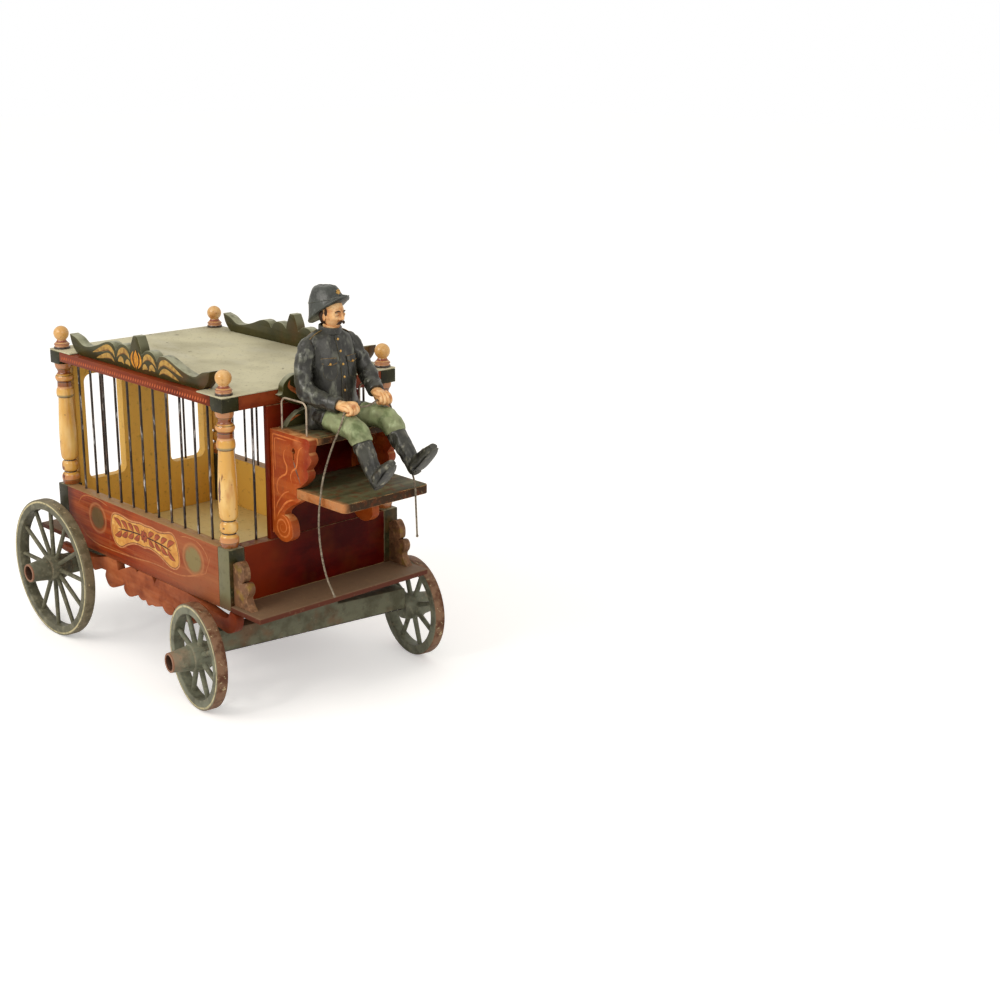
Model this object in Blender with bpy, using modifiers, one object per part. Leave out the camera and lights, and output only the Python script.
# Toy circus wagon: a barred cage on four spoked wheels, with a driver on a raised seat.
# Metres. +X forward, +Y to the driver's left, +Z up, the ground at Z = 0.
# Run it with blender --background --python part.py, or from Blender's text editor.

import math

import bmesh
import bpy
from mathutils import Matrix, Vector

for old in list(bpy.data.objects):
    bpy.data.objects.remove(old, do_unlink=True)

# Clearances
GAP = 0.0003              # between two pieces that touch
RUNNING_GAP = 0.0003      # between a turning piece and its shaft
FIGURE_GAP = 0.0006       # between two moulded pieces of the driver
WELD = 0.00001            # merge distance

# Cage body. The middle of the cage is at X = 0 of the wagon's own frame.
BODY_HALF_LENGTH = 0.2241       # outside of the lower corner blocks
FRAME_INSET = 0.0025            # the upper corner blocks stand back from the lower ones
BODY_HALF_WIDTH = 0.150
FLOOR_UNDERSIDE = 0.147
FLOOR_THICKNESS = 0.008
FRONT_PLATFORM_REACH = 0.0664   # from the body to the platform's edge
REAR_PLATFORM_REACH = 0.0634
SILL_TOP = 0.2344
FRAME_TOP = 0.442
PANEL_THICKNESS = 0.0187
REAR_WALL_THICKNESS = 0.0160
LOWER_BLOCK_SIDE = 0.026
UPPER_BLOCK_SIDE = 0.027
UPPER_BLOCK_HEIGHT = 0.0192
BLOCK_EASE = 0.0008             # eased edges of the blocks and seat boards
SIDE_RAIL_HEIGHT = 0.0140
FRONT_RAIL_HEIGHT = 0.0190
ROOF_THICKNESS = 0.0020
SEAT_BACK_HALF_WIDTH = 0.0795
SEAT_BACK_THICKNESS = 0.0090

# Turned posts and finials
POST_RADIUS = 0.0133
POST_SEGMENTS = 12
FINIAL_RADIUS = 0.0112
FINIAL_FOOT_RADIUS = 0.0120
FINIAL_STEM = 0.0128            # height of the foot under the ball
FINIAL_SEGMENTS = 10

# Steel bars
BAR_RADIUS = 0.0016
BAR_HOLE_RADIUS = 0.0020
BAR_HOLE_DEPTH = 0.0040
BAR_SET_IN = 0.0145             # from the outside of the body to the bar
BARS_PER_SIDE = 11
BAR_END_ROOM = 0.0314           # from a lower corner block to the last bar
FRONT_BAR_INSET = 0.057         # from the side of the body to a front bar
BAR_SIDES = 6

# Rear windows
WINDOW_INNER = 0.041
WINDOW_OUTER_INSET = 0.044      # from the side of the body
WINDOW_HEADROOM = 0.042         # from the top of the frame
WINDOW_CORNER = 0.012

# Fretwork
CORNICE_THICKNESS = 0.0150
CORNICE_INSET_RIGHT = 0.0115    # from the side of the body
CORNICE_INSET_LEFT = 0.0005
CORNICE_FOOT = 0.704            # share of the frame's half length that stands on the rail
CORNICE_HORN_ROOM = 0.0080      # roof notch past the foot of the horn
APRON_THICKNESS = 0.0127
SCROLL_THICKNESS = 0.0127       # seat brackets
PLATFORM_SCROLL_THICKNESS = 0.0110
PLATFORM_SCROLL_INSET = 0.006   # from the side of the body

# Driver's seat
SEAT_HALF_WIDTH = 0.0765
SEAT_DROP = 0.050               # from the top of the frame to the seat
SEAT_REACH = 0.0869             # from the body to the seat's front edge
SEAT_THICKNESS = 0.0100
FOOTBOARD_DROP = 0.073          # from the seat to the footboard
FOOTBOARD_THICKNESS = 0.0125
FOOTBOARD_REACH = 0.1569        # from the body to the footboard's front edge
FOOTBOARD_LEFT = 0.0710         # its left edge is planed back from the seat's side
FOOTBOARD_BACK_REACH = 0.0179
FOOTBOARD_CORNER = 0.008
HEADBOARD_THICKNESS = 0.0104
ARM_WIRE_RADIUS = 0.0011
ARM_RAIL_INSET = 0.0095         # from the side of the seat
ARM_RAIL_BACK_REACH = 0.0159    # from the body
ARM_RAIL_FRONT_REACH = 0.0691
ARM_RAIL_HEIGHT = 0.0455        # above the seat
ARM_RAIL_BEND = 0.0090

# Running gear
REAR_AXLE_INSET = 0.0177        # from the end of the body
KING_PIN_INSET = 0.0211
STEER_AT_REST = math.radians(-8.35)
AXLE_BLOCK_WIDTH = 0.025
AXLE_BLOCK_PAST = 0.005         # past the side of the body
AXLE_BLOCK_ROOM_FRONT = 0.037   # from the floor's underside to the thick part of the block
AXLE_BLOCK_ROOM_REAR = 0.026
AXLE_BLOCK_DROP = 0.0125        # rear block below its rod's axis
PACKING_INSET = 0.015
TURNTABLE_HALF_LENGTH = 0.0400
KING_PIN_RADIUS = 0.0040
ROD_RADIUS = 0.0030
ROD_COLLAR_RADIUS = 0.0070
ROD_COLLAR_LENGTH = 0.0030
ROD_SEGMENTS = 8
REAR_WHEEL_RADIUS = 0.1071
FRONT_WHEEL_RADIUS = 0.0755
WHEEL_STANDOFF = 0.0267         # from the side of the body to the middle of the rims
RIM_DEPTH = 0.0148
RIM_WIDTH = 0.0166
RIM_EASE = 0.0012
RIM_SEGMENTS = 32
HUB_RADIUS = 0.0200
HUB_NOSE_RADIUS = 0.0140
HUB_NOSE = 0.0438               # from the wheel's plane to the end of the hub
HUB_BARREL = 0.0230             # length of the widest part, around the spokes
HUB_STEP = 0.0012
HUB_WELL_RADIUS = 0.0110
HUB_WELL_DEPTH = 0.0200
HUB_SEGMENTS = 14
END_PLAY = 0.0005
REAR_SPOKES = 12
REAR_SPOKE_TURN = 0.0
FRONT_SPOKES = 8
FRONT_SPOKE_TURN = math.radians(25.5)    # of the first spoke above the level
REAR_SPOKE_RADIUS = 0.0033
FRONT_SPOKE_RADIUS = 0.0037
SPOKE_SIDES = 6
REIN_RADIUS = 0.0013
WIRE_RESOLUTION = 1

# Derived planes
FRAME_HALF_LENGTH = BODY_HALF_LENGTH - FRAME_INSET
SEAT_TOP = FRAME_TOP - SEAT_DROP
SEAT_FRONT = BODY_HALF_LENGTH + SEAT_REACH
FOOTBOARD_TOP = SEAT_TOP - FOOTBOARD_DROP
FOOTBOARD_FRONT = BODY_HALF_LENGTH + FOOTBOARD_REACH
FOOTBOARD_BACK = BODY_HALF_LENGTH + FOOTBOARD_BACK_REACH
ARM_RAIL_Y = SEAT_HALF_WIDTH - ARM_RAIL_INSET
ARM_RAIL_BACK = BODY_HALF_LENGTH + ARM_RAIL_BACK_REACH
ARM_RAIL_FRONT = BODY_HALF_LENGTH + ARM_RAIL_FRONT_REACH
ARM_RAIL_TOP = SEAT_TOP + ARM_RAIL_HEIGHT
REAR_AXLE_X = REAR_AXLE_INSET - BODY_HALF_LENGTH
KING_PIN_X = BODY_HALF_LENGTH - KING_PIN_INSET
AXLE_BLOCK_HALF_LENGTH = BODY_HALF_WIDTH + AXLE_BLOCK_PAST
AXLE_BLOCK_TOP_FRONT = FLOOR_UNDERSIDE - AXLE_BLOCK_ROOM_FRONT
AXLE_BLOCK_TOP_REAR = FLOOR_UNDERSIDE - AXLE_BLOCK_ROOM_REAR
PACKING_HALF_LENGTH = BODY_HALF_WIDTH - PACKING_INSET
WHEEL_PLANE = BODY_HALF_WIDTH + WHEEL_STANDOFF
WINDOW_OUTER = BODY_HALF_WIDTH - WINDOW_OUTER_INSET
WINDOW_TOP = FRAME_TOP - WINDOW_HEADROOM
CORNICE_CONTACT = FRAME_HALF_LENGTH * CORNICE_FOOT
FLOOR_TOP = FLOOR_UNDERSIDE + FLOOR_THICKNESS
PANEL_INSIDE = BODY_HALF_WIDTH - PANEL_THICKNESS
LOWER_BLOCK_X = BODY_HALF_LENGTH - LOWER_BLOCK_SIDE
LOWER_BLOCK_Y = BODY_HALF_WIDTH - LOWER_BLOCK_SIDE
BAR_SPACING = 2 * (LOWER_BLOCK_X - BAR_END_ROOM) / (BARS_PER_SIDE - 1)
FRONT_BAR_SPAN = 2 * (BODY_HALF_WIDTH - FRONT_BAR_INSET)
UPPER_BLOCK_X = FRAME_HALF_LENGTH - UPPER_BLOCK_SIDE
UPPER_BLOCK_Y = BODY_HALF_WIDTH - UPPER_BLOCK_SIDE
POST_X = FRAME_HALF_LENGTH - POST_RADIUS
POST_Y = BODY_HALF_WIDTH - POST_RADIUS
BLOCK_BOTTOM = FRAME_TOP - UPPER_BLOCK_HEIGHT
SIDE_RAIL_BOTTOM = FRAME_TOP - SIDE_RAIL_HEIGHT
FRONT_RAIL_BOTTOM = FRAME_TOP - FRONT_RAIL_HEIGHT
ROOF_BOTTOM = FRAME_TOP + GAP
ROOF_TOP = ROOF_BOTTOM + ROOF_THICKNESS
BAR_Y = BODY_HALF_WIDTH - BAR_SET_IN
FRONT_BAR_X = FRAME_HALF_LENGTH - POST_RADIUS
SEAT_START = BODY_HALF_LENGTH
SEAT_BOTTOM = SEAT_TOP - SEAT_THICKNESS
FOOTBOARD_BOTTOM = FOOTBOARD_TOP - FOOTBOARD_THICKNESS
SEAT_INSIDE = SEAT_HALF_WIDTH - SCROLL_THICKNESS - GAP
BRACKET_NOTCH = SEAT_START + 0.0559     # the footboard passes through the brackets here
BRACKET_END = SEAT_START + 0.0777       # front end of a bracket's flat top
HUB_INNER = AXLE_BLOCK_HALF_LENGTH + END_PLAY
HUB_WELL_FLOOR = WHEEL_PLANE + HUB_NOSE - HUB_WELL_DEPTH

# The origin of the finished wagon is under the middle of its length, from the left toe to
# the back of the rear wheels.
TOE_REACH = 0.1702              # from the driver's hips to the tip of the left toe
HIP_FORWARD = 0.0379            # from the body to the driver's hips
DRIVER_X = SEAT_START + HIP_FORWARD
BODY_X = -0.5 * (DRIVER_X + TOE_REACH + REAR_AXLE_X - REAR_WHEEL_RADIUS)

PARTS = bpy.data.collections.new("toy_circus_wagon")
CUTTERS = bpy.data.collections.new("cutters")
bpy.context.scene.collection.children.link(PARTS)
bpy.context.scene.collection.children.link(CUTTERS)


# Materials

def finish(name, colour, roughness, metallic=0.0):
    """A Principled material in one colour."""
    made = bpy.data.materials.new(name)
    made.use_nodes = True
    shader = made.node_tree.nodes["Principled BSDF"]
    shader.inputs["Base Color"].default_value = (colour[0], colour[1], colour[2], 1.0)
    shader.inputs["Roughness"].default_value = roughness
    shader.inputs["Metallic"].default_value = metallic
    return made


BROWN_RED = finish("panel_brown_red", (0.30, 0.062, 0.020), 0.45)
MAROON = finish("front_maroon", (0.14, 0.018, 0.010), 0.45)
DARK_GREEN = finish("block_dark_green", (0.055, 0.062, 0.030), 0.45)
HONEY_WOOD = finish("post_honey_wood", (0.70, 0.38, 0.10), 0.35)
PALE_WOOD = finish("finial_pale_wood", (0.72, 0.48, 0.22), 0.35)
BRICK_RED = finish("rail_brick_red", (0.28, 0.055, 0.022), 0.45)
ROOF_PAINT = finish("roof_pale", (0.60, 0.52, 0.35), 0.60)
GREEN_GILT = finish("cornice_green", (0.085, 0.100, 0.050), 0.45)
OCHRE = finish("floor_ochre", (0.40, 0.24, 0.06), 0.60)
ORANGE_RED = finish("scroll_orange_red", (0.48, 0.095, 0.022), 0.45)
SEAT_OLIVE = finish("seat_olive", (0.12, 0.100, 0.042), 0.55)
STEEL_DARK = finish("steel_dark", (0.10, 0.095, 0.090), 0.35, 0.9)
WHEEL_GREY = finish("wheel_grey_green", (0.135, 0.130, 0.075), 0.55)
AXLE_GREY = finish("axle_grey_green", (0.13, 0.130, 0.080), 0.60)
UNIFORM = finish("uniform_slate", (0.045, 0.052, 0.050), 0.50)
BREECHES = finish("breeches_sage", (0.17, 0.20, 0.09), 0.60)
SKIN = finish("head_skin", (0.62, 0.32, 0.12), 0.50)
REIN_GREY = finish("rein_grey", (0.16, 0.14, 0.11), 0.60)


# Frames that carry the pieces

def carrier(name, location, turn=0.0, parent=None):
    """An empty on which pieces ride."""
    empty = bpy.data.objects.new(name, None)
    empty.location = location
    empty.rotation_euler = (0.0, 0.0, turn)
    empty.parent = parent
    PARTS.objects.link(empty)
    return empty


WAGON = carrier("wagon_frame", (BODY_X, 0.0, 0.0))
TRUCK = carrier("front_truck_frame", (KING_PIN_X, 0.0, 0.0), STEER_AT_REST, WAGON)


# Modelling helpers

def add(name, mesh, material, location=(0.0, 0.0, 0.0), turn=(0.0, 0.0, 0.0), parent=WAGON):
    """Put a mesh into the model as a named part."""
    part = bpy.data.objects.new(name, mesh)
    part.location = location
    part.rotation_euler = turn
    part.parent = parent
    mesh.materials.clear()
    mesh.materials.append(material)
    PARTS.objects.link(part)
    return part


def cutter(name, mesh, location=(0.0, 0.0, 0.0), turn=(0.0, 0.0, 0.0), parent=WAGON):
    """A tool body for a Boolean, kept out of the model."""
    tool = bpy.data.objects.new(name, mesh)
    tool.location = location
    tool.rotation_euler = turn
    tool.parent = parent
    tool.hide_render = True
    tool.display_type = 'WIRE'
    CUTTERS.objects.link(tool)
    return tool


def cut(part, tool, operation='DIFFERENCE'):
    """Cut a part with a tool body, or join the tool body to it."""
    step = part.modifiers.new(operation.lower() + "_" + tool.name, 'BOOLEAN')
    step.operation = operation
    step.solver = 'EXACT'
    step.object = tool


def to_mesh(name, build):
    """A mesh made by a function that fills a bmesh."""
    bm = bmesh.new()
    build(bm)
    bmesh.ops.recalc_face_normals(bm, faces=bm.faces)
    mesh = bpy.data.meshes.new(name)
    bm.to_mesh(mesh)
    bm.free()
    return mesh


def box_mesh(name, x, y, z):
    """A box between two values on each axis."""
    size = (x[1] - x[0], y[1] - y[0], z[1] - z[0])
    middle = ((x[0] + x[1]) / 2, (y[0] + y[1]) / 2, (z[0] + z[1]) / 2)
    place = Matrix.Translation(middle) @ Matrix.Diagonal((size[0], size[1], size[2], 1.0))
    return to_mesh(name, lambda bm: bmesh.ops.create_cube(bm, size=1.0, matrix=place))


def ease(part, width):
    """Ease the edges of a board."""
    bevel = part.modifiers.new("eased_edges", 'BEVEL')
    bevel.width = width
    bevel.segments = 1
    bevel.limit_method = 'ANGLE'
    bevel.angle_limit = math.radians(60)


def board(name, x, y, z, material, eased=0.0):
    """A straight board, with its origin at its middle."""
    middle = ((x[0] + x[1]) / 2, (y[0] + y[1]) / 2, (z[0] + z[1]) / 2)
    half = [(x[1] - x[0]) / 2, (y[1] - y[0]) / 2, (z[1] - z[0]) / 2]
    mesh = box_mesh(name, (-half[0], half[0]), (-half[1], half[1]), (-half[2], half[2]))
    part = add(name, mesh, material, middle)
    if eased > 0.0:
        ease(part, eased)
    return part


def rods_mesh(name, places, radius, low, high, sides):
    """Upright round rods at the given (x, y) places, as one mesh."""
    def build(bm):
        for x, y in places:
            middle = Matrix.Translation((x, y, (low + high) / 2))
            bmesh.ops.create_cone(bm, cap_ends=True, segments=sides, radius1=radius,
                                  radius2=radius, depth=high - low, matrix=middle)
    return to_mesh(name, build)


def flowing(points, steps=2):
    """A closed outline that flows through its points and turns sharply at marked corners.

    Each point is (across, up) for a smooth one or (across, up, 1) for a corner.
    """
    path = []
    count = len(points)
    spots = [Vector((p[0], p[1])) for p in points]
    sharp = [len(p) > 2 for p in points]
    for i in range(count):
        here = spots[i]
        after = spots[(i + 1) % count]
        path.append(here)
        if sharp[i] and sharp[(i + 1) % count]:
            continue
        chord = after - here
        length = chord.length
        leave = chord if sharp[i] else (after - spots[i - 1]).normalized() * length
        reach = spots[(i + 2) % count] - here
        arrive = chord if sharp[(i + 1) % count] else reach.normalized() * length
        for k in range(1, steps):
            t = k / steps
            blend_here = 2 * t ** 3 - 3 * t ** 2 + 1
            blend_leave = t ** 3 - 2 * t ** 2 + t
            blend_after = -2 * t ** 3 + 3 * t ** 2
            blend_arrive = t ** 3 - t ** 2
            path.append(here * blend_here + leave * blend_leave
                        + after * blend_after + arrive * blend_arrive)
    return path


def evaluated_mesh(item):
    """The welded mesh of a curve object, which is then removed."""
    bpy.context.view_layer.update()
    graph = bpy.context.evaluated_depsgraph_get()
    mesh = bpy.data.meshes.new_from_object(item.evaluated_get(graph))
    bm = bmesh.new()
    bm.from_mesh(mesh)
    bmesh.ops.remove_doubles(bm, verts=bm.verts, dist=WELD)
    bmesh.ops.recalc_face_normals(bm, faces=bm.faces)
    bm.to_mesh(mesh)
    bm.free()
    shape = item.data
    bpy.data.objects.remove(item, do_unlink=True)
    bpy.data.curves.remove(shape)
    return mesh


def sawn_mesh(name, outline, thickness, holes=()):
    """A sawn board: a flat outline in its own XY plane, with a thickness along its own Z."""
    shape = bpy.data.curves.new(name, 'CURVE')
    shape.dimensions = '2D'
    shape.fill_mode = 'BOTH'
    shape.extrude = thickness / 2
    for path in [outline] + list(holes):
        spline = shape.splines.new('POLY')
        spline.points.add(len(path) - 1)
        for point, spot in zip(spline.points, path):
            point.co = (spot[0], spot[1], 0.0, 1.0)
        spline.use_cyclic_u = True
    item = bpy.data.objects.new(name, shape)
    PARTS.objects.link(item)
    return evaluated_mesh(item)


# Turns a board drawn in XY so that it stands along the wagon or across it.
ALONG = (math.radians(90), 0.0, 0.0)
ACROSS = (math.radians(90), 0.0, math.radians(90))


def sawn(name, outline, thickness, middle, turn, material, holes=()):
    """A sawn board as a part; middle is the place of its mid plane."""
    return add(name, sawn_mesh(name, outline, thickness, holes), material, middle, turn)


def turned_mesh(name, profile, segments, closed=False):
    """A turned shape about its own Z; the profile holds (radius, height) from top to bottom."""
    def build(bm):
        dots = [bm.verts.new((radius, 0.0, height)) for radius, height in profile]
        for first, second in zip(dots, dots[1:]):
            bm.edges.new((first, second))
        if closed:
            bm.edges.new((dots[-1], dots[0]))
    mesh = to_mesh(name + "_profile", build)
    item = bpy.data.objects.new(name, mesh)
    PARTS.objects.link(item)
    screw = item.modifiers.new("turning", 'SCREW')
    screw.axis = 'Z'
    screw.angle = math.tau
    screw.steps = segments
    screw.render_steps = segments
    screw.use_merge_vertices = True
    screw.merge_threshold = WELD
    bpy.context.view_layer.update()
    graph = bpy.context.evaluated_depsgraph_get()
    turned = bpy.data.meshes.new_from_object(item.evaluated_get(graph))
    bpy.data.objects.remove(item, do_unlink=True)
    bpy.data.meshes.remove(mesh)
    bm = bmesh.new()
    bm.from_mesh(turned)
    bmesh.ops.remove_doubles(bm, verts=bm.verts, dist=WELD)
    bmesh.ops.recalc_face_normals(bm, faces=bm.faces)
    bm.to_mesh(turned)
    bm.free()
    turned.name = name
    turned.shade_smooth()
    turned.set_sharp_from_angle(angle=math.radians(40))
    return turned


def wire_mesh(name, points, radius):
    """A round wire or cord through the given points."""
    shape = bpy.data.curves.new(name, 'CURVE')
    shape.dimensions = '3D'
    shape.bevel_depth = radius
    shape.bevel_resolution = WIRE_RESOLUTION
    shape.use_fill_caps = True
    spline = shape.splines.new('POLY')
    spline.points.add(len(points) - 1)
    for point, spot in zip(spline.points, points):
        point.co = (spot[0], spot[1], spot[2], 1.0)
    item = bpy.data.objects.new(name, shape)
    PARTS.objects.link(item)
    mesh = evaluated_mesh(item)
    mesh.shade_smooth()
    mesh.set_sharp_from_angle(angle=math.radians(50))
    return mesh


def smooth_route(spots, step):
    """Points about a step apart on a smooth curve through the route's own points."""
    knots = [Vector(s) for s in spots]
    line = []
    for i in range(len(knots) - 1):
        before = knots[max(i - 1, 0)]
        here = knots[i]
        after = knots[i + 1]
        beyond = knots[min(i + 2, len(knots) - 1)]
        pieces = max(1, round((after - here).length / step))
        for k in range(pieces):
            t = k / pieces
            line.append(0.5 * (2 * here + (after - before) * t
                               + (2 * before - 5 * here + 4 * after - beyond) * t ** 2
                               + (3 * here - before - 3 * after + beyond) * t ** 3))
    line.append(knots[-1])
    return line


def loft_mesh(name, sections, sides, grow=0.0, side_axis=Vector((0.0, 1.0, 0.0)), tilts=None):
    """A body through oval sections: each is (x, y, z, half width, half depth).

    The sections lie square to the line through their middles, or to the given tilts.
    Grow makes the body larger all round, for a cutter that leaves a gap.
    """
    middles = [Vector(s[:3]) for s in sections]
    last = len(sections) - 1

    def build(bm):
        rings = []
        for i, section in enumerate(sections):
            along = (middles[min(i + 1, last)] - middles[max(i - 1, 0)]).normalized()
            if tilts is not None:
                along = Vector((-math.sin(tilts[i]), 0.0, math.cos(tilts[i])))
            across = (side_axis - along * side_axis.dot(along)).normalized()
            deep = along.cross(across)
            middle = middles[i]
            if i == 0:
                middle = middle - along * grow
            if i == last:
                middle = middle + along * grow
            wide = section[3] + grow
            thick = section[4] + grow
            ring = []
            for k in range(sides):
                angle = math.tau * (k + 0.5) / sides
                spot = middle + across * (wide * math.cos(angle)) + deep * (thick * math.sin(angle))
                ring.append(bm.verts.new(spot))
            rings.append(ring)
        for lower, upper in zip(rings, rings[1:]):
            for k in range(sides):
                n = (k + 1) % sides
                bm.faces.new((lower[k], lower[n], upper[n], upper[k]))
        bm.faces.new(rings[0][::-1])
        bm.faces.new(rings[-1])

    mesh = to_mesh(name, build)
    mesh.shade_smooth()
    mesh.set_sharp_from_angle(angle=math.radians(50))
    return mesh


SIDES = (("right", -1), ("left", 1))
CORNERS = (("front_right", 1, -1), ("front_left", 1, 1),
           ("rear_right", -1, -1), ("rear_left", -1, 1))


# Floor board: one board that runs out under the body as a platform at each end

def make_floor():
    inner = LOWER_BLOCK_X - GAP
    end = BODY_HALF_LENGTH + GAP
    front = BODY_HALF_LENGTH + FRONT_PLATFORM_REACH
    rear = BODY_HALF_LENGTH + REAR_PLATFORM_REACH
    wide = PANEL_INSIDE - GAP
    narrow = LOWER_BLOCK_Y - GAP
    half = [(front, BODY_HALF_WIDTH), (end, BODY_HALF_WIDTH), (end, narrow), (inner, narrow),
            (inner, wide), (-inner, wide), (-inner, narrow), (-end, narrow),
            (-end, BODY_HALF_WIDTH), (-rear, BODY_HALF_WIDTH)]
    outline = half + [(x, -y) for x, y in reversed(half)]
    hole = []
    for k in range(POST_SEGMENTS):
        angle = math.tau * k / POST_SEGMENTS
        reach = KING_PIN_RADIUS + RUNNING_GAP
        hole.append((KING_PIN_X + reach * math.cos(angle), reach * math.sin(angle)))
    sawn("floor_board", outline, FLOOR_THICKNESS,
         (0.0, 0.0, FLOOR_UNDERSIDE + FLOOR_THICKNESS / 2), (0.0, 0.0, 0.0), OCHRE, [hole])


# Lower panels with blind holes in their top edges for the bars

def side_bar_places(side):
    first = -BAR_SPACING * (BARS_PER_SIDE - 1) / 2
    return [(first + BAR_SPACING * i, side * BAR_Y) for i in range(BARS_PER_SIDE)]


FRONT_BAR_PLACES = [(FRONT_BAR_X, -FRONT_BAR_SPAN / 2), (FRONT_BAR_X, FRONT_BAR_SPAN / 2)]


def bar_holes(name, places):
    return cutter(name, rods_mesh(name, places, BAR_HOLE_RADIUS, SILL_TOP - BAR_HOLE_DEPTH,
                                  SILL_TOP + BAR_HOLE_DEPTH, BAR_SIDES))


def make_lower_body():
    for word, side in SIDES:
        inner = LOWER_BLOCK_X - GAP
        across = sorted((side * PANEL_INSIDE, side * BODY_HALF_WIDTH))
        panel = board("side_panel_" + word, (-inner, inner), across,
                      (FLOOR_UNDERSIDE, SILL_TOP), BROWN_RED)
        cut(panel, bar_holes("bar_holes_" + word, side_bar_places(side)))
    for word, end, side in CORNERS:
        along = sorted((end * LOWER_BLOCK_X, end * BODY_HALF_LENGTH))
        across = sorted((side * LOWER_BLOCK_Y, side * BODY_HALF_WIDTH))
        board("corner_block_lower_" + word, along, across,
              (FLOOR_UNDERSIDE, SILL_TOP), DARK_GREEN, BLOCK_EASE)
    width = LOWER_BLOCK_Y - GAP
    front = board("front_panel", (BODY_HALF_LENGTH - PANEL_THICKNESS, BODY_HALF_LENGTH - GAP),
                  (-width, width), (FLOOR_TOP + GAP, SILL_TOP), MAROON)
    cut(front, bar_holes("bar_holes_front", FRONT_BAR_PLACES))


# Rear wall with two round-cornered windows and a bar in each

def window(side):
    path = []
    low = min(side * WINDOW_INNER, side * WINDOW_OUTER)
    high = max(side * WINDOW_INNER, side * WINDOW_OUTER)
    centres = [(high - WINDOW_CORNER, WINDOW_TOP - WINDOW_CORNER, 0),
               (low + WINDOW_CORNER, WINDOW_TOP - WINDOW_CORNER, 90),
               (low + WINDOW_CORNER, SILL_TOP + WINDOW_CORNER, 180),
               (high - WINDOW_CORNER, SILL_TOP + WINDOW_CORNER, 270)]
    for y, z, start in centres:
        for turn in (0, 30, 60, 90):
            angle = math.radians(start + turn)
            path.append((y + WINDOW_CORNER * math.cos(angle), z + WINDOW_CORNER * math.sin(angle)))
    return path


def make_rear_wall():
    inside = -FRAME_HALF_LENGTH + REAR_WALL_THICKNESS
    middle = (inside - FRAME_HALF_LENGTH) / 2
    width = UPPER_BLOCK_Y - GAP
    low = FLOOR_TOP + GAP
    outline = [(-width, low), (width, low), (width, FRAME_TOP), (-width, FRAME_TOP)]
    wall = sawn("rear_wall", outline, REAR_WALL_THICKNESS, (middle, 0.0, 0.0), ACROSS, BROWN_RED,
                [window(-1), window(1)])
    centre = (WINDOW_INNER + WINDOW_OUTER) / 2
    bars = rods_mesh("rear_bars", [(middle, -centre), (middle, centre)], BAR_RADIUS,
                     SILL_TOP - BAR_HOLE_DEPTH, WINDOW_TOP + BAR_HOLE_DEPTH, BAR_SIDES)
    cut(wall, cutter("rear_bars", bars), 'UNION')


# Turned corner posts: shares of the post's height and of its radius, from top to bottom

POST_PROFILE = [(1.000, 0.960), (0.968, 0.900), (0.946, 0.740), (0.925, 0.670), (0.900, 0.920),
                (0.882, 1.000), (0.860, 0.890), (0.848, 0.800), (0.800, 0.825), (0.790, 0.920),
                (0.756, 0.980), (0.728, 0.920), (0.722, 0.800), (0.570, 0.910), (0.430, 0.985),
                (0.290, 0.985), (0.222, 0.900), (0.199, 0.690), (0.180, 0.880), (0.148, 0.945),
                (0.118, 0.880), (0.102, 0.670), (0.080, 0.920), (0.046, 1.000), (0.000, 0.860)]


def make_posts():
    low = SILL_TOP + GAP
    high = BLOCK_BOTTOM - GAP
    profile = [(0.0, high)]
    for share, part in POST_PROFILE:
        profile.append((POST_RADIUS * part, low + (high - low) * share))
    profile.append((0.0, low))
    mesh = turned_mesh("corner_post", profile, POST_SEGMENTS)
    for word, end, side in CORNERS:
        add("corner_post_" + word, mesh.copy(), HONEY_WOOD, (end * POST_X, side * POST_Y, 0.0))


# Upper corner blocks, sawn in a curve where they meet the side rails

def make_upper_blocks():
    for word, end, side in CORNERS:
        run = UPPER_BLOCK_SIDE
        rail = SIDE_RAIL_BOTTOM
        step = rail - BLOCK_BOTTOM
        outline = flowing([(run, FRAME_TOP, 1), (0.0, FRAME_TOP, 1), (0.0, rail, 1),
                           (step * 0.25, rail - step * 0.60), (step * 1.1, BLOCK_BOTTOM, 1),
                           (run, BLOCK_BOTTOM, 1)], 3)
        outline = [(end * (UPPER_BLOCK_X + x), z) for x, z in outline]
        middle = side * (BODY_HALF_WIDTH - UPPER_BLOCK_SIDE / 2)
        block = sawn("corner_block_upper_" + word, outline, UPPER_BLOCK_SIDE,
                     (0.0, middle, 0.0), ALONG, DARK_GREEN)
        ease(block, BLOCK_EASE)


# Top rails with their steel bars, which run down into the holes of the panels

def make_rails():
    foot = SILL_TOP - BAR_HOLE_DEPTH + GAP
    for word, side in SIDES:
        inner = UPPER_BLOCK_X - GAP
        across = sorted((side * UPPER_BLOCK_Y, side * BODY_HALF_WIDTH))
        rail = board("top_rail_" + word, (-inner, inner), across,
                     (SIDE_RAIL_BOTTOM, FRAME_TOP), BRICK_RED)
        bars = rods_mesh("bars_" + word, side_bar_places(side), BAR_RADIUS, foot,
                         SIDE_RAIL_BOTTOM + SIDE_RAIL_HEIGHT / 2, BAR_SIDES)
        cut(rail, cutter("bars_" + word, bars), 'UNION')
    width = UPPER_BLOCK_Y - GAP
    front = board("top_rail_front", (UPPER_BLOCK_X, FRAME_HALF_LENGTH), (-width, width),
                  (FRONT_RAIL_BOTTOM, FRAME_TOP), BRICK_RED)
    bars = rods_mesh("bars_front", FRONT_BAR_PLACES, BAR_RADIUS, foot,
                     FRONT_RAIL_BOTTOM + FRONT_RAIL_HEIGHT / 2, BAR_SIDES)
    cut(front, cutter("bars_front", bars), 'UNION')


# Roof board between the cornices, wide at the corners under the finials

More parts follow.
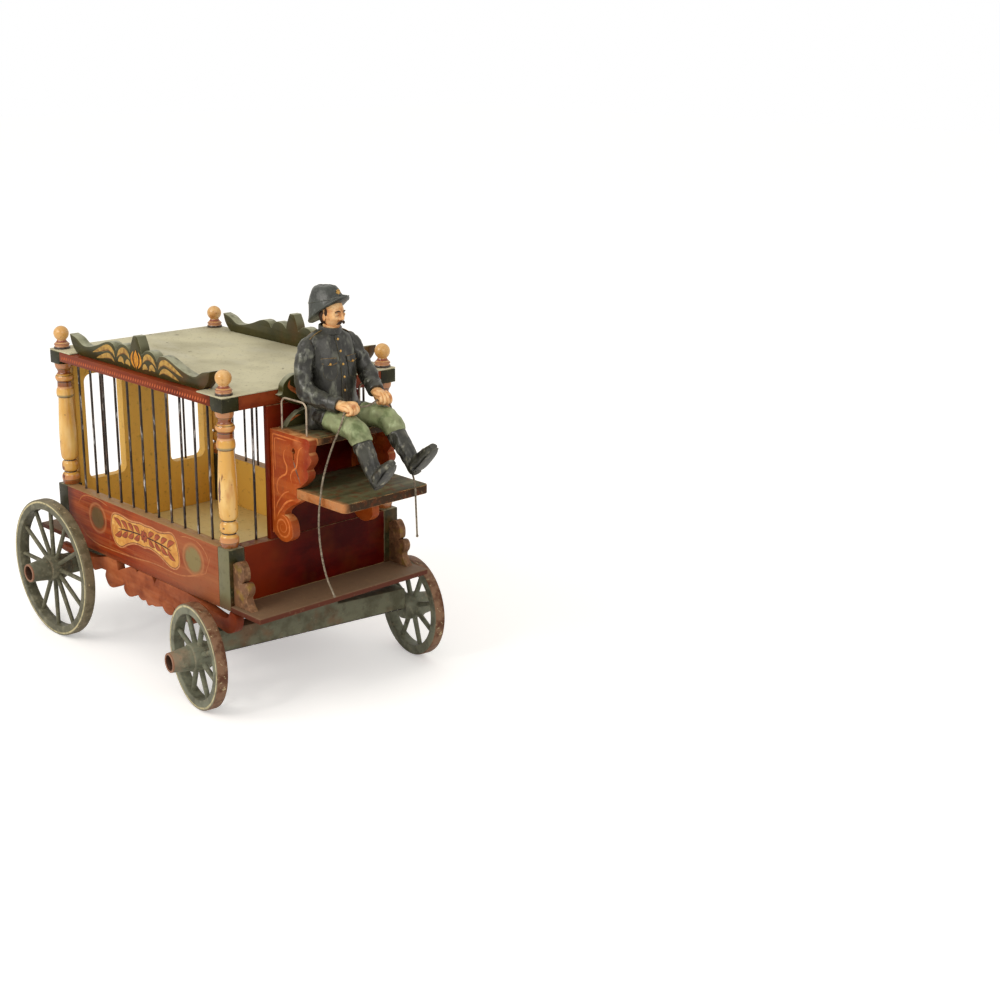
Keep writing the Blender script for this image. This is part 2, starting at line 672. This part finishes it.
def make_roof():
    end = FRAME_HALF_LENGTH
    notch = CORNICE_CONTACT + CORNICE_HORN_ROOM
    right = -BODY_HALF_WIDTH + CORNICE_INSET_RIGHT + CORNICE_THICKNESS + GAP
    left = BODY_HALF_WIDTH - CORNICE_INSET_LEFT - CORNICE_THICKNESS - GAP
    outline = [(-end, -BODY_HALF_WIDTH), (-notch, -BODY_HALF_WIDTH), (-notch, right),
               (notch, right), (notch, -BODY_HALF_WIDTH), (end, -BODY_HALF_WIDTH),
               (end, BODY_HALF_WIDTH), (notch, BODY_HALF_WIDTH), (notch, left),
               (-notch, left), (-notch, BODY_HALF_WIDTH), (-end, BODY_HALF_WIDTH)]
    sawn("roof_board", outline, ROOF_THICKNESS, (0.0, 0.0, ROOF_BOTTOM + ROOF_THICKNESS / 2),
         (0.0, 0.0, 0.0), ROOF_PAINT)


# Cornices: half outline from the foot, round the horn, over the lobes to the middle, as
# (share of the frame's half length, height above its foot)

CORNICE_HALF = [(CORNICE_FOOT, 0.0, 1), (0.7490, 0.0045), (0.7920, 0.0150), (0.8145, 0.0285, 1),
                (0.7310, 0.0245), (0.6543, 0.0165), (0.5821, 0.0165), (0.4693, 0.0225),
                (0.3430, 0.0315), (0.2708, 0.0305), (0.2392, 0.0225, 1), (0.2031, 0.0310),
                (0.1647, 0.0340), (0.1083, 0.0325), (0.0677, 0.0260, 1), (0.0542, 0.0370),
                (0.0226, 0.0505, 1)]


def make_cornices():
    half = [(share * FRAME_HALF_LENGTH, z + FRAME_TOP + GAP) + tuple(mark)
            for share, z, *mark in CORNICE_HALF]
    mirrored = [(-x, z) + tuple(mark) for x, z, *mark in reversed(half)]
    outline = flowing(half + mirrored)
    places = {"right": -(BODY_HALF_WIDTH - CORNICE_INSET_RIGHT - CORNICE_THICKNESS / 2),
              "left": BODY_HALF_WIDTH - CORNICE_INSET_LEFT - CORNICE_THICKNESS / 2}
    for word, place in places.items():
        sawn("cornice_" + word, outline, CORNICE_THICKNESS, (0.0, place, 0.0), ALONG, GREEN_GILT)


# Ball finials on the roof's corners

def make_finials():
    foot = ROOF_TOP + GAP
    centre = foot + FINIAL_STEM + FINIAL_RADIUS * math.cos(math.radians(30))
    profile = [(0.0, centre + FINIAL_RADIUS)]
    for turn in (25, 50, 75, 100, 125, 148):
        angle = math.radians(turn)
        profile.append((FINIAL_RADIUS * math.sin(angle), centre + FINIAL_RADIUS * math.cos(angle)))
    wide = FINIAL_FOOT_RADIUS
    stem = FINIAL_STEM
    profile += [(wide * 0.68, foot + stem * 0.82), (wide * 0.97, foot + stem * 0.50),
                (wide * 0.84, foot + stem * 0.34), (wide, foot + stem * 0.12), (wide, foot),
                (0.0, foot)]
    mesh = turned_mesh("finial", profile, FINIAL_SEGMENTS)
    for word, end, side in CORNERS:
        add("finial_" + word, mesh.copy(), PALE_WOOD, (end * POST_X, side * POST_Y, 0.0))


# Aprons under the side panels, from front to rear, as (share of the body's half length, drop
# below the floor's underside)

APRON = [(0.9884, 0.0003, 1), (1.0397, 0.0030), (1.0527, 0.0130), (1.0219, 0.0275),
         (0.9549, 0.0336), (0.8701, 0.0310), (0.7349, 0.0322, 1), (0.6604, 0.0250),
         (0.5895, 0.0237, 1), (0.6015, 0.0343), (0.5756, 0.0430), (0.5511, 0.0471),
         (0.4462, 0.0420), (0.3534, 0.0310, 1), (0.3730, 0.0364), (0.3570, 0.0440),
         (0.3124, 0.0480), (0.2633, 0.0460), (0.2334, 0.0399, 1), (0.1531, 0.0449),
         (0.1084, 0.0452), (0.0665, 0.0486), (0.0370, 0.0423, 1), (0.0036, 0.0447),
         (-0.0272, 0.0439), (-0.0576, 0.0394, 1), (-0.1160, 0.0460), (-0.1700, 0.0485),
         (-0.2142, 0.0440), (-0.2258, 0.0364), (-0.2062, 0.0310, 1), (-0.3034, 0.0420),
         (-0.4038, 0.0471), (-0.4543, 0.0343), (-0.4422, 0.0237, 1), (-0.5132, 0.0250),
         (-0.5877, 0.0322, 1), (-0.7140, 0.0240), (-0.8478, 0.0225), (-0.9817, 0.0225),
         (-1.0419, 0.0190), (-1.0486, 0.0130, 1), (-0.6693, 0.0128), (-0.6024, 0.0115),
         (-0.4909, 0.0055), (-0.4150, 0.0003, 1), (-0.3012, 0.0003, 1), (-0.2869, 0.0146, 1),
         (-0.1374, 0.0003, 1), (-0.0718, 0.0003, 1), (-0.0513, 0.0038, 1), (-0.0308, 0.0003, 1),
         (0.1299, 0.0003, 1), (0.1562, 0.0090, 1), (0.1843, 0.0003, 1), (0.5243, 0.0003, 1),
         (0.7140, 0.0062), (0.8880, 0.0126), (0.9594, 0.0110)]


def make_aprons():
    outline = flowing([(share * BODY_HALF_LENGTH, FLOOR_UNDERSIDE - drop) + tuple(mark)
                       for share, drop, *mark in APRON])
    for word, side in SIDES:
        place = side * (BODY_HALF_WIDTH - APRON_THICKNESS / 2)
        sawn("side_apron_" + word, outline, APRON_THICKNESS, (0.0, place, 0.0), ALONG, ORANGE_RED)


# Scroll brackets on the front platform: (forward of the body, above the platform)

PLATFORM_SCROLL = [(0.0003, 0.0003, 1), (0.0003, 0.0594, 1), (0.0145, 0.0658), (0.0227, 0.0585),
                   (0.0249, 0.0510), (0.0239, 0.0410), (0.0193, 0.0370, 1), (0.0300, 0.0385),
                   (0.0346, 0.0330), (0.0339, 0.0250), (0.0290, 0.0170), (0.0330, 0.0080),
                   (0.0400, 0.0003, 1)]


def make_platform_scrolls():
    outline = flowing([(BODY_HALF_LENGTH + x, FLOOR_TOP + z) + tuple(mark)
                       for x, z, *mark in PLATFORM_SCROLL])
    for word, side in SIDES:
        outside = BODY_HALF_WIDTH - PLATFORM_SCROLL_INSET
        place = side * (outside - PLATFORM_SCROLL_THICKNESS / 2)
        sawn("platform_bracket_" + word, outline, PLATFORM_SCROLL_THICKNESS,
             (0.0, place, 0.0), ALONG, ORANGE_RED)


# Seat brackets: (forward of the body, above the footboard's top); the seat lies on their top

SEAT_SCROLL_LOW = [(0.0655, -0.0138, 1), (0.0564, -0.0201), (0.0426, -0.0275), (0.0300, -0.0370),
                   (0.0273, -0.0425, 1), (0.0352, -0.0443), (0.0417, -0.0500), (0.0452, -0.0608),
                   (0.0442, -0.0712), (0.0336, -0.0796), (0.0233, -0.0814), (0.0131, -0.0787),
                   (0.0041, -0.0736, 1), (0.0003, -0.0736, 1)]
SEAT_SCROLL_HIGH = [(0.0837, -0.0013), (0.0870, -0.0075, 1), (0.0832, -0.0178, 1),
                    (0.0880, -0.0230), (0.0884, -0.0300), (0.0787, -0.0424, 1),
                    (0.0820, -0.0470), (0.0809, -0.0544), (0.0730, -0.0620),
                    (0.0635, -0.0696, 1)]
KEYHOLE = [(0.0512, -0.0175), (0.0474, -0.0225), (0.0500, -0.0260), (0.0500, -0.0350, 1),
           (0.0524, -0.0350, 1), (0.0524, -0.0260), (0.0553, -0.0225)]


def make_seat():
    back = SEAT_START + GAP
    under_seat = [(SEAT_START + x, SEAT_TOP + z) + tuple(mark) for x, z, *mark in SEAT_SCROLL_HIGH]
    under_foot = [(SEAT_START + x, FOOTBOARD_TOP + z) + tuple(mark)
                  for x, z, *mark in SEAT_SCROLL_LOW]
    outline = [(back, SEAT_TOP, 1), (BRACKET_END, SEAT_TOP, 1)] + under_seat
    outline += [(BRACKET_NOTCH, FOOTBOARD_TOP + GAP, 1), (BRACKET_NOTCH, FOOTBOARD_BOTTOM - GAP, 1)]
    outline += under_foot
    hole = [(SEAT_START + x, SEAT_TOP + z) + tuple(mark) for x, z, *mark in KEYHOLE]
    for word, side in SIDES:
        place = side * (SEAT_HALF_WIDTH - SCROLL_THICKNESS / 2)
        sawn("seat_bracket_" + word, flowing(outline), SCROLL_THICKNESS,
             (0.0, place, 0.0), ALONG, ORANGE_RED, [flowing(hole, 1)])
    board("seat_board", (back, SEAT_FRONT), (-SEAT_INSIDE, SEAT_INSIDE),
          (SEAT_BOTTOM, SEAT_TOP), SEAT_OLIVE, BLOCK_EASE)


def make_footboard():
    corner = FOOTBOARD_CORNER
    notch = BRACKET_NOTCH + GAP
    outline = []
    for side, wide in ((1, FOOTBOARD_LEFT), (-1, SEAT_HALF_WIDTH)):
        half = [(FOOTBOARD_BACK, side * SEAT_INSIDE), (notch, side * SEAT_INSIDE),
                (notch, side * wide), (FOOTBOARD_FRONT - corner, side * wide)]
        for turn in (60, 30, 0):
            angle = math.radians(turn)
            half.append((FOOTBOARD_FRONT - corner + corner * math.cos(angle),
                         side * (wide - corner + corner * math.sin(angle))))
        outline += half if side == 1 else half[::-1]
    sawn("footboard", outline, FOOTBOARD_THICKNESS,
         (0.0, 0.0, FOOTBOARD_TOP - FOOTBOARD_THICKNESS / 2), (0.0, 0.0, 0.0), SEAT_OLIVE)


# Board behind the seat, and the shaped headboard in front of it: (half width, above the seat)

HEADBOARD_HALF = [(0.0558, 0.0003, 1), (0.0496, 0.0080), (0.0351, 0.0182), (0.0240, 0.0210),
                  (0.0225, 0.0270, 1), (0.0420, 0.0300), (0.0668, 0.0454, 1), (0.0616, 0.0468),
                  (0.0589, 0.0590), (0.0469, 0.0687), (0.0352, 0.0703), (0.0180, 0.0640)]


def make_seat_back():
    front = BODY_HALF_LENGTH - GAP
    board("seat_back_board", (front - SEAT_BACK_THICKNESS, front),
          (-SEAT_BACK_HALF_WIDTH, SEAT_BACK_HALF_WIDTH),
          (SILL_TOP + GAP, FRONT_RAIL_BOTTOM - GAP), MAROON)
    half = [(y, z + SEAT_TOP) + tuple(mark) for y, z, *mark in HEADBOARD_HALF]
    mirrored = [(-y, z) + tuple(mark) for y, z, *mark in reversed(half)]
    middle = SEAT_START + GAP + HEADBOARD_THICKNESS / 2
    sawn("headboard", flowing(half + mirrored), HEADBOARD_THICKNESS, (middle, 0.0, 0.0),
         ACROSS, GREEN_GILT)


# Bent wire arm rails, set into the seat brackets

def make_arm_rails():
    foot = SEAT_TOP + GAP
    top = ARM_RAIL_TOP - ARM_WIRE_RADIUS
    bend = ARM_RAIL_BEND
    route = [(ARM_RAIL_BACK, foot)]
    for start, centre_x in ((180, ARM_RAIL_BACK + bend), (90, ARM_RAIL_FRONT - bend)):
        for turn in (0, 22.5, 45, 67.5, 90):
            angle = math.radians(start - turn)
            route.append((centre_x + bend * math.cos(angle), top - bend + bend * math.sin(angle)))
    route.append((ARM_RAIL_FRONT, foot))
    for word, side in SIDES:
        points = [(x, 0.0, z) for x, z in route]
        mesh = wire_mesh("arm_rail_" + word, points, ARM_WIRE_RADIUS)
        add("arm_rail_" + word, mesh, STEEL_DARK, (0.0, side * ARM_RAIL_Y, 0.0))


# Axle blocks, rods and king pin

def rod_mesh(name):
    collar_start = HUB_WELL_FLOOR + RUNNING_GAP
    collar_end = collar_start + ROD_COLLAR_LENGTH
    end = collar_end + ROD_COLLAR_LENGTH
    half = [(0.0, end), (ROD_RADIUS, end), (ROD_RADIUS, collar_end), (ROD_COLLAR_RADIUS, collar_end),
            (ROD_COLLAR_RADIUS, collar_start), (ROD_RADIUS, collar_start)]
    profile = half + [(radius, -height) for radius, height in reversed(half)]
    return turned_mesh(name, profile, ROD_SEGMENTS)


def make_axles():
    end = AXLE_BLOCK_HALF_LENGTH
    low = REAR_WHEEL_RADIUS - AXLE_BLOCK_DROP
    pack = PACKING_HALF_LENGTH
    top = FLOOR_UNDERSIDE - GAP
    outline = [(-end, low), (end, low), (end, AXLE_BLOCK_TOP_REAR), (pack, AXLE_BLOCK_TOP_REAR),
               (pack, top), (-pack, top), (-pack, AXLE_BLOCK_TOP_REAR), (-end, AXLE_BLOCK_TOP_REAR)]
    rear = sawn("rear_axle_block", outline, AXLE_BLOCK_WIDTH, (REAR_AXLE_X, 0.0, 0.0), ACROSS,
                AXLE_GREY)
    bore = turned_mesh("rear_axle_bore", [(0.0, 2 * end), (ROD_RADIUS + GAP, 2 * end),
                                          (ROD_RADIUS + GAP, -2 * end), (0.0, -2 * end)],
                       POST_SEGMENTS)
    lie = (math.radians(-90), 0.0, 0.0)
    cut(rear, cutter("rear_axle_bore", bore, (REAR_AXLE_X, 0.0, REAR_WHEEL_RADIUS), lie))
    add("rear_axle_rod", rod_mesh("rear_axle_rod"), STEEL_DARK,
        (REAR_AXLE_X, 0.0, REAR_WHEEL_RADIUS), lie)
    add("front_axle_rod", rod_mesh("front_axle_rod"), STEEL_DARK,
        (0.0, 0.0, FRONT_WHEEL_RADIUS), lie, TRUCK)
    low = FRONT_WHEEL_RADIUS + ROD_RADIUS + GAP
    mid = TURNTABLE_HALF_LENGTH
    outline = [(-end, low), (end, low), (end, AXLE_BLOCK_TOP_FRONT), (mid, AXLE_BLOCK_TOP_FRONT),
               (mid, top), (-mid, top), (-mid, AXLE_BLOCK_TOP_FRONT), (-end, AXLE_BLOCK_TOP_FRONT)]
    front = add("front_axle_block", sawn_mesh("front_axle_block", outline, AXLE_BLOCK_WIDTH),
                AXLE_GREY, (0.0, 0.0, 0.0), ACROSS, TRUCK)
    pin = rods_mesh("king_pin", [(0.0, 0.0)], KING_PIN_RADIUS, AXLE_BLOCK_TOP_FRONT,
                    FLOOR_TOP - GAP, POST_SEGMENTS)
    cut(front, cutter("king_pin", pin, parent=TRUCK), 'UNION')


# Wheels, made about their own Z, which points out of the wagon

def rim_mesh(name, radius):
    half = RIM_WIDTH / 2
    soft = RIM_EASE
    inner = radius - RIM_DEPTH
    profile = [(inner, half), (radius - soft, half), (radius, half - soft), (radius, soft - half),
               (radius - soft, -half), (inner, -half)]
    return turned_mesh(name, profile, RIM_SEGMENTS, closed=True)


def hub_mesh(name):
    inner = HUB_INNER - WHEEL_PLANE
    shoulder = HUB_BARREL / 2
    bore = ROD_RADIUS + RUNNING_GAP
    well = HUB_NOSE - HUB_WELL_DEPTH
    profile = [(HUB_WELL_RADIUS, HUB_NOSE), (HUB_NOSE_RADIUS, HUB_NOSE),
               (HUB_RADIUS * 0.88, shoulder + HUB_STEP), (HUB_RADIUS, shoulder),
               (HUB_RADIUS, -shoulder),
               (HUB_RADIUS * 0.80, inner), (bore, inner), (bore, well), (HUB_WELL_RADIUS, well)]
    return turned_mesh(name, profile, HUB_SEGMENTS, closed=True)


def spokes_mesh(name, count, first, radius, length):
    """Round spokes from inside the hub to the inside of the rim."""
    def build(bm):
        start = HUB_RADIUS * 0.7
        for k in range(count):
            turn = Matrix.Rotation(first + math.tau * k / count, 4, 'Z')
            lie = Matrix.Rotation(math.radians(90), 4, 'Y')
            place = turn @ Matrix.Translation(((start + length) / 2, 0.0, 0.0)) @ lie
            bmesh.ops.create_cone(bm, cap_ends=True, segments=SPOKE_SIDES, radius1=radius,
                                  radius2=radius, depth=length - start, matrix=place)
    return to_mesh(name, build)


def make_wheels():
    for end, x, radius, count, first, thick, parent in (
            ("rear", REAR_AXLE_X, REAR_WHEEL_RADIUS, REAR_SPOKES, REAR_SPOKE_TURN,
             REAR_SPOKE_RADIUS, WAGON),
            ("front", 0.0, FRONT_WHEEL_RADIUS, FRONT_SPOKES, FRONT_SPOKE_TURN,
             FRONT_SPOKE_RADIUS, TRUCK)):
        for word, side in SIDES:
            name = end + "_" + word
            place = (x, side * WHEEL_PLANE, radius)
            turn = (math.radians(-90 * side), 0.0, 0.0)
            add("wheel_rim_" + name, rim_mesh("wheel_rim_" + name, radius), WHEEL_GREY,
                place, turn, parent)
            hub = add("wheel_hub_" + name, hub_mesh("wheel_hub_" + name), WHEEL_GREY,
                      place, turn, parent)
            bed = (radius - RIM_DEPTH) * math.cos(math.pi / RIM_SEGMENTS) - GAP
            spokes = spokes_mesh("spokes_" + name, count, first, thick,
                                 math.sqrt(bed ** 2 - thick ** 2))
            cut(hub, cutter("spokes_" + name, spokes, place, turn, parent), 'UNION')


# Driver: all sections are (forward, left, up) from the hips on the seat, then half width
# and half depth

JACKET = [(0.003, 0.0, 0.0000, 0.0420, 0.0240), (0.005, 0.0, 0.0100, 0.0440, 0.0275),
          (0.005, 0.0, 0.0260, 0.0400, 0.0270), (0.003, 0.0, 0.0460, 0.0350, 0.0260),
          (0.002, 0.0, 0.0640, 0.0345, 0.0265), (0.000, 0.0, 0.0820, 0.0370, 0.0265),
          (-0.003, 0.0, 0.0980, 0.0390, 0.0255), (-0.004, 0.0, 0.1120, 0.0385, 0.0225),
          (-0.004, 0.0, 0.1220, 0.0330, 0.0180), (-0.003, 0.0, 0.1280, 0.0200, 0.0150),
          (-0.001, 0.0, 0.1310, 0.0150, 0.0140), (0.000, 0.0, 0.1350, 0.0150, 0.0142)]
HEAD = [(0.001, 0.0, 0.1320, 0.0115, 0.0110), (0.002, 0.0, 0.1365, 0.0120, 0.0130),
        (0.006, 0.0, 0.1400, 0.0128, 0.0150), (0.0075, 0.0, 0.1460, 0.0145, 0.0162),
        (0.007, 0.0, 0.1540, 0.0155, 0.0165), (0.005, 0.0, 0.1640, 0.0155, 0.0165),
        (0.003, 0.0, 0.1760, 0.0130, 0.0140)]
HELMET = [(0.0014, 0.0, 0.1560, 0.0225, 0.0430), (0.0010, 0.0, 0.1580, 0.0225, 0.0430),
          (-0.0045, 0.0, 0.1627, 0.0222, 0.0330), (-0.0070, 0.0, 0.1697, 0.0215, 0.0298),
          (-0.0090, 0.0, 0.1772, 0.0200, 0.0272), (-0.0100, 0.0, 0.1842, 0.0172, 0.0232),
          (-0.0108, 0.0, 0.1892, 0.0118, 0.0162), (-0.0110, 0.0, 0.1910, 0.0055, 0.0075)]
HELMET_TILTS = [29, 29, 27, 22, 16, 10, 6, 4]
NOSE = [(0.0180, 0.0, 0.1600, 0.0010, 0.0020), (0.0215, 0.0, 0.1560, 0.0016, 0.0030),
        (0.0240, 0.0, 0.1525, 0.0022, 0.0040), (0.0220, 0.0, 0.1500, 0.0018, 0.0030)]
ARM_RIGHT = [(-0.004, -0.0300, 0.1200, 0.0100, 0.0100), (-0.003, -0.0380, 0.1130, 0.0130, 0.0125),
             (-0.001, -0.0440, 0.0990, 0.0135, 0.0130), (0.001, -0.0475, 0.0820, 0.0125, 0.0125),
             (0.004, -0.0490, 0.0670, 0.0125, 0.0125), (0.011, -0.0490, 0.0550, 0.0125, 0.0130),
             (0.024, -0.0460, 0.0480, 0.0120, 0.0120), (0.042, -0.0395, 0.0440, 0.0108, 0.0108),
             (0.0575, -0.0345, 0.0418, 0.0105, 0.0104), (0.0583, -0.0343, 0.0417, 0.0078, 0.0072),
             (0.0660, -0.0320, 0.0408, 0.0100, 0.0076), (0.0780, -0.0295, 0.0402, 0.0105, 0.0080),
             (0.0860, -0.0285, 0.0392, 0.0085, 0.0062), (0.0890, -0.0280, 0.0388, 0.0050, 0.0035)]
ARM_LEFT = [(-0.004, 0.0300, 0.1200, 0.0100, 0.0100), (-0.002, 0.0380, 0.1130, 0.0130, 0.0125),
            (0.001, 0.0430, 0.1000, 0.0135, 0.0130), (0.008, 0.0460, 0.0850, 0.0125, 0.0125),
            (0.0160, 0.0470, 0.0735, 0.0125, 0.0125), (0.0255, 0.0455, 0.0640, 0.0120, 0.0125),
            (0.0365, 0.0420, 0.0560, 0.0110, 0.0110), (0.0475, 0.0385, 0.0490, 0.0103, 0.0103),
            (0.0482, 0.0383, 0.0486, 0.0078, 0.0072), (0.0555, 0.0365, 0.0445, 0.0100, 0.0076),
            (0.0650, 0.0350, 0.0412, 0.0105, 0.0080), (0.0735, 0.0340, 0.0400, 0.0085, 0.0062),
            (0.0765, 0.0335, 0.0396, 0.0050, 0.0035)]
LEG_RIGHT = [(0.010, -0.022, 0.0162, 0.0150, 0.0145), (0.026, -0.0255, 0.0162, 0.0150, 0.0145),
             (0.050, -0.0290, 0.0165, 0.0150, 0.0150), (0.074, -0.0300, 0.0160, 0.0152, 0.0155),
             (0.0895, -0.0300, 0.0110, 0.0152, 0.0155), (0.0965, -0.0300, 0.0020, 0.0150, 0.0155),
             (0.0990, -0.0300, -0.0020, 0.0142, 0.0146), (0.1000, -0.0300, -0.0040, 0.0130, 0.0135),
             (0.1080, -0.0300, -0.0150, 0.0125, 0.0132), (0.1200, -0.0300, -0.0330, 0.0108, 0.0115),
             (0.1300, -0.0300, -0.0480, 0.0100, 0.0108), (0.1335, -0.0300, -0.0535, 0.0088, 0.0092)]
FOOT_RIGHT = [(0.1220, -0.0300, -0.0500, 0.0085, 0.0075), (0.1300, -0.0300, -0.0440, 0.0098, 0.0100),
              (0.1410, -0.0300, -0.0340, 0.0100, 0.0090), (0.1520, -0.0300, -0.0240, 0.0092, 0.0068),
              (0.1585, -0.0300, -0.0175, 0.0065, 0.0045)]
LEG_LEFT = [(0.010, 0.022, 0.0162, 0.0150, 0.0145), (0.026, 0.0270, 0.0162, 0.0150, 0.0145),
            (0.046, 0.0320, 0.0165, 0.0150, 0.0150), (0.066, 0.0350, 0.0160, 0.0152, 0.0155),
            (0.0815, 0.0350, 0.0115, 0.0152, 0.0155), (0.0890, 0.0350, 0.0035, 0.0150, 0.0155),
            (0.0915, 0.0350, -0.0000, 0.0142, 0.0146), (0.0930, 0.0350, -0.0018, 0.0130, 0.0135),
            (0.1030, 0.0350, -0.0115, 0.0125, 0.0132), (0.1180, 0.0350, -0.0270, 0.0108, 0.0115),
            (0.1280, 0.0350, -0.0400, 0.0100, 0.0108), (0.1325, 0.0350, -0.0460, 0.0088, 0.0092)]
FOOT_LEFT = [(0.1230, 0.0350, -0.0420, 0.0085, 0.0075), (0.1320, 0.0350, -0.0350, 0.0098, 0.0100),
             (0.1450, 0.0350, -0.0245, 0.0100, 0.0090), (0.1590, 0.0350, -0.0125, 0.0092, 0.0068),
             (0.1670, 0.0350, -0.0045, 0.0065, 0.0045)]

BODY_SIDES = 12
LIMB_SIDES = 10
HIPS = (DRIVER_X, 0.0, SEAT_TOP + GAP)


def make_driver():
    level = [0.0] * len(JACKET)
    jacket = loft_mesh("driver_jacket", JACKET, BODY_SIDES, tilts=level)
    add("driver_jacket", jacket, UNIFORM, HIPS)
    room = loft_mesh("jacket_room", JACKET, BODY_SIDES, FIGURE_GAP, tilts=level)
    body_room = cutter("jacket_room", room, HIPS)
    head = add("driver_head", loft_mesh("driver_head", HEAD, BODY_SIDES), SKIN, HIPS)
    tilts = [math.radians(t) for t in HELMET_TILTS]
    helmet = loft_mesh("helmet", HELMET, BODY_SIDES, tilts=tilts)
    cut(head, cutter("helmet", helmet, HIPS), 'UNION')
    cut(head, cutter("nose", loft_mesh("nose", NOSE, 6), HIPS), 'UNION')
    cut(head, body_room)
    for word, arm, leg, foot in (("right", ARM_RIGHT, LEG_RIGHT, FOOT_RIGHT),
                                 ("left", ARM_LEFT, LEG_LEFT, FOOT_LEFT)):
        limb = add("driver_leg_" + word, loft_mesh("driver_leg_" + word, leg, LIMB_SIDES),
                   BREECHES, HIPS)
        shoe = cutter("foot_" + word, loft_mesh("foot_" + word, foot, LIMB_SIDES), HIPS)
        cut(limb, shoe, 'UNION')
        cut(limb, body_room)
        sleeve = add("driver_arm_" + word, loft_mesh("driver_arm_" + word, arm, LIMB_SIDES),
                     UNIFORM, HIPS)
        cut(sleeve, body_room)
        leg_room = loft_mesh("leg_room_" + word, leg, LIMB_SIDES, FIGURE_GAP)
        cut(sleeve, cutter("leg_room_" + word, leg_room, HIPS))


# Reins: from each hand down past the footboard, and the stretch between the hands, as (forward
# of the body, left, above the seat)

REIN_RIGHT = [(0.1154, -0.0402, 0.0372), (0.1161, -0.0470, 0.0215), (0.1174, -0.0600, 0.0007),
              (0.1174, -0.0680, -0.0156), (0.1167, -0.0750, -0.0342), (0.1155, -0.0795, -0.0514),
              (0.1133, -0.0808, -0.0700), (0.1099, -0.0810, -0.0884), (0.1084, -0.0810, -0.1159),
              (0.1124, -0.0810, -0.1470), (0.1219, -0.0810, -0.1770), (0.1386, -0.0810, -0.2015)]
REIN_LEFT = [(0.1034, 0.0449, 0.0377), (0.0999, 0.0530, 0.0260), (0.0999, 0.0565, 0.0120),
             (0.1059, 0.0570, -0.0051), (0.1168, 0.0555, -0.0235), (0.1279, 0.0525, -0.0360),
             (0.1399, 0.0485, -0.0480), (0.1534, 0.0450, -0.0580), (0.1595, 0.0432, -0.0730),
             (0.1609, 0.0425, -0.0860), (0.1644, 0.0410, -0.1174), (0.1667, 0.0400, -0.1376)]
REIN_MIDDLE = [(0.1159, -0.0191, 0.0410), (0.1144, -0.0050, 0.0392), (0.1109, 0.0100, 0.0398),
               (0.1049, 0.0246, 0.0420)]
REIN_STEP = 0.0090


def make_reins():
    for word, route in (("right", REIN_RIGHT), ("left", REIN_LEFT), ("middle", REIN_MIDDLE)):
        spots = [(SEAT_START + x, y, SEAT_TOP + z) for x, y, z in route]
        mesh = wire_mesh("rein_" + word, smooth_route(spots, REIN_STEP), REIN_RADIUS)
        add("rein_" + word, mesh, REIN_GREY)


make_floor()
make_lower_body()
make_rear_wall()
make_posts()
make_upper_blocks()
make_rails()
make_roof()
make_cornices()
make_finials()
make_aprons()
make_platform_scrolls()
make_seat()
make_footboard()
make_seat_back()
make_arm_rails()
make_axles()
make_wheels()
make_driver()
make_reins()
